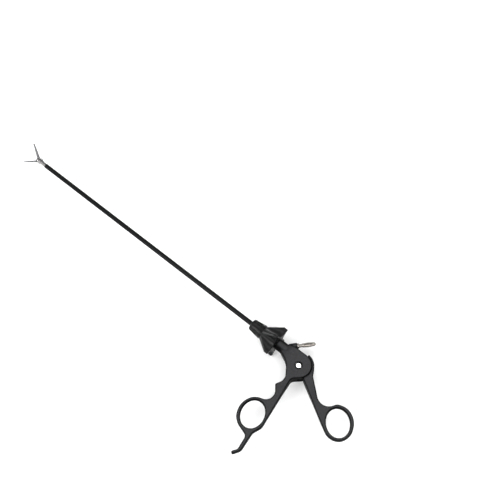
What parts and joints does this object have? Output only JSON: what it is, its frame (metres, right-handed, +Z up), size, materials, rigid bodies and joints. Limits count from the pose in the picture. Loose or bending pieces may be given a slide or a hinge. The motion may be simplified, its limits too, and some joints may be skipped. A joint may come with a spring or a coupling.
{
  "type": "laparoscopic forceps",
  "caption": "Laparoscopic grasping forceps: ringed handle with thumb lever, winged rotation knob, slim insulated shaft and a pair of linked jaws.",
  "frame": {"origin": "on the shaft's axis, at the front face of the nose collar, where the free shaft begins", "axes": "+X along the shaft from the jaws to the handle, -Y from the shaft to the finger ring, +Z up with the instrument lying on its side"},
  "size_m": [0.4717, 0.1355, 0.0311],
  "materials": {
    "handle_plastic": "satin moulded, fine grain",
    "knob_plastic": "satin moulded",
    "insulation": "smooth glossy sleeve",
    "steel": "fine turned and polished",
    "jaw_steel": "satin",
    "contact_metal": "bright plated",
    "seal_rubber": "matt"
  },
  "bodies": {
    "handle": {"front_handle": "handle_plastic", "pivot_screw": "steel", "pivot_nut": "steel", "hf_pin": "contact_metal", "contact_plunger": "contact_metal", "keeper_screw": "steel"},
    "thumb": {"thumb_handle": "handle_plastic"},
    "shaft": {"rotation_knob": "knob_plastic", "nose_collar": "knob_plastic", "seam_ring": "knob_plastic", "shaft_spigot": "steel", "spigot_seal": "seal_rubber", "insulation_sleeve": "insulation", "outer_tube": "steel", "rod_seal": "seal_rubber", "distal_fork": "steel", "jaw_pin": "steel"},
    "rod": {"drive_rod": "steel", "rod_ball": "steel", "rod_tang": "steel", "drive_pin": "steel"},
    "upper_jaw": {"upper_jaw": "jaw_steel"},
    "lower_jaw": {"lower_jaw": "jaw_steel"},
    "upper_link": {"upper_link": "steel", "upper_link_stud": "steel"},
    "lower_link": {"lower_link": "steel", "lower_link_stud": "steel"}
  },
  "joints": [
    {"name": "thumb_hinge", "type": "hinge", "parent": "handle", "child": "thumb", "pos_m": [0.064, -0.006, 0], "axis": [0, 0, 1], "range_deg": [-21.6, 0]},
    {"name": "shaft_rotation", "type": "hinge", "parent": "handle", "child": "shaft", "pos_m": [0, 0, 0], "axis": [1, 0, 0], "continuous": true},
    {"name": "rod_slide", "type": "slide", "parent": "shaft", "child": "rod", "axis": [1, 0, 0], "range_m": [0, 0.00225]},
    {"name": "upper_jaw_hinge", "type": "hinge", "parent": "shaft", "child": "upper_jaw", "pos_m": [-0.3115, 0, 0], "axis": [0, -0.5299, 0.848], "range_deg": [0, 35]},
    {"name": "lower_jaw_hinge", "type": "hinge", "parent": "shaft", "child": "lower_jaw", "pos_m": [-0.3115, 0, 0], "axis": [0, -0.5299, 0.848], "range_deg": [-35, 0]},
    {"name": "upper_link_hinge", "type": "hinge", "parent": "rod", "child": "upper_link", "pos_m": [-0.30313, 0, 0], "axis": [0, -0.5299, 0.848], "range_deg": [-16.08, 0]},
    {"name": "lower_link_hinge", "type": "hinge", "parent": "rod", "child": "lower_link", "pos_m": [-0.30313, 0, 0], "axis": [0, -0.5299, 0.848], "range_deg": [0, 16.08]}
  ],
  "couplings": [
    {"joint": "rod_slide", "follows": "thumb_hinge", "m_per_rad": -0.005961},
    {"joint": "upper_jaw_hinge", "follows": "thumb_hinge", "ratio": -1.6204},
    {"joint": "lower_jaw_hinge", "follows": "thumb_hinge", "ratio": 1.6204},
    {"joint": "upper_link_hinge", "follows": "thumb_hinge", "ratio": 0.74397},
    {"joint": "lower_link_hinge", "follows": "thumb_hinge", "ratio": -0.74397}
  ]
}
